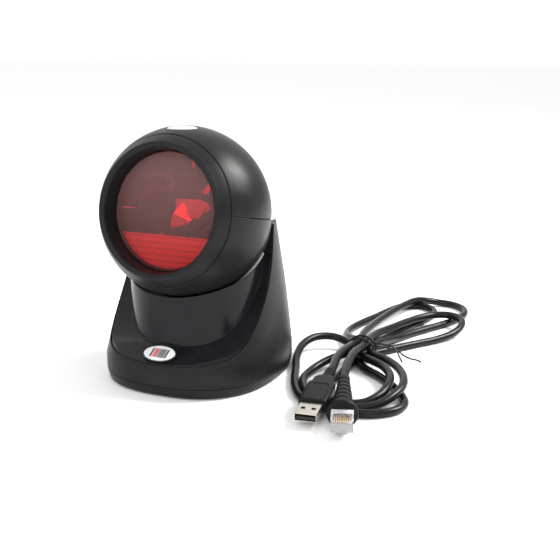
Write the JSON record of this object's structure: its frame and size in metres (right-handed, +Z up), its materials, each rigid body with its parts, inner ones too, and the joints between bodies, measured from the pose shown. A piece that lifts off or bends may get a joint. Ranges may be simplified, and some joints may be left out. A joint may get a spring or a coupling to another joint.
{
  "type": "presentation barcode scanner",
  "caption": "Ball-shaped hands-free laser barcode scanner head tilting in a two-armed weighted stand, with its detachable tied data lead beside it.",
  "frame": {"origin": "on the floor at the base_rest mount, 2.2 mm in front of the middle of the stand's footprint", "axes": "+Z up, -Y the way the scan window faces, +X towards the side where the lead lies"},
  "size_m": [0.1939, 0.2741, 0.15],
  "materials": {
    "acetal": "natural acetal",
    "badge_white": "glossy printed plate",
    "board_green": "solder-masked laminate",
    "brass": "plated",
    "charcoal": "fine moulded texture, satin",
    "clear": "clear polycarbonate",
    "gloss_black": "polished",
    "inner_black": "plain moulded",
    "label_red": "printed film",
    "lens_grey": "frosted",
    "mirror": "front-silvered",
    "nickel": "nickel plated",
    "pvc_black": "satin flexible PVC",
    "rubber": "matt",
    "steel": "zinc plated",
    "window_red": "dark red tinted, polished"
  },
  "bodies": {
    "stand": {"stand_shell": "charcoal", "inner_cover": "gloss_black", "base_plate": "charcoal", "rubber_pad": "rubber", "base_screw_1": "steel", "base_screw_2": "steel", "base_screw_3": "steel", "base_screw_4": "steel", "ballast_plate": "steel", "jack_housing": "inner_black", "jack_contacts": "brass", "jack_board": "board_green", "front_badge": "badge_white", "guide_stud": "steel", "clamp_plate": "acetal", "clamp_spring": "steel", "clamp_ring": "steel", "plug_body": "clear", "plug_contacts": "brass", "plug_boot": "pvc_black", "usb_shell": "nickel", "usb_tongue": "inner_black", "usb_overmould": "pvc_black", "usb_strain_relief": "pvc_black", "plug_tail": "pvc_black", "usb_tail": "pvc_black", "cord_hank_front": "pvc_black", "cord_hank_neck": "pvc_black", "cord_hank_rear": "pvc_black", "cord_tie": "pvc_black"},
    "head": {"front_bezel": "charcoal", "scan_window": "window_red", "window_label": "label_red", "upper_cover": "charcoal", "lower_cover": "charcoal", "cover_screw_left": "steel", "cover_screw_right": "steel", "status_lens": "lens_grey", "status_lamp": "clear", "optical_frame": "inner_black", "motor_stator": "steel", "laser_module": "brass", "collecting_mirror": "mirror", "detector_board": "board_green", "photodetector": "inner_black", "main_board": "board_green", "beeper": "inner_black", "board_connector": "acetal", "pattern_mirror_1": "mirror", "pattern_mirror_2": "mirror", "pattern_mirror_3": "mirror", "pattern_mirror_4": "mirror", "pattern_mirror_5": "mirror"},
    "rotor": {"polygon_mirror": "mirror", "rotor_hub": "steel"},
    "latch": {"plug_latch": "clear"}
  },
  "joints": [
    {"name": "head_tilt", "type": "hinge", "parent": "stand", "child": "head", "pos_m": [0, -0.0125, 0.1], "axis": [-1, 0, 0], "range_deg": [-11, 19]},
    {"name": "mirror_spin", "type": "hinge", "parent": "head", "child": "rotor", "pos_m": [0, -0.0125, 0.1], "axis": [0, -0.982, 0.1891], "continuous": true},
    {"name": "latch_press", "type": "hinge", "parent": "stand", "child": "latch", "pos_m": [0.11847, -0.06507, 0.00352], "axis": [0.9424, 0.3346, 0], "range_deg": [0, 8], "stiffness_Nm_per_rad": 0.03}
  ]
}
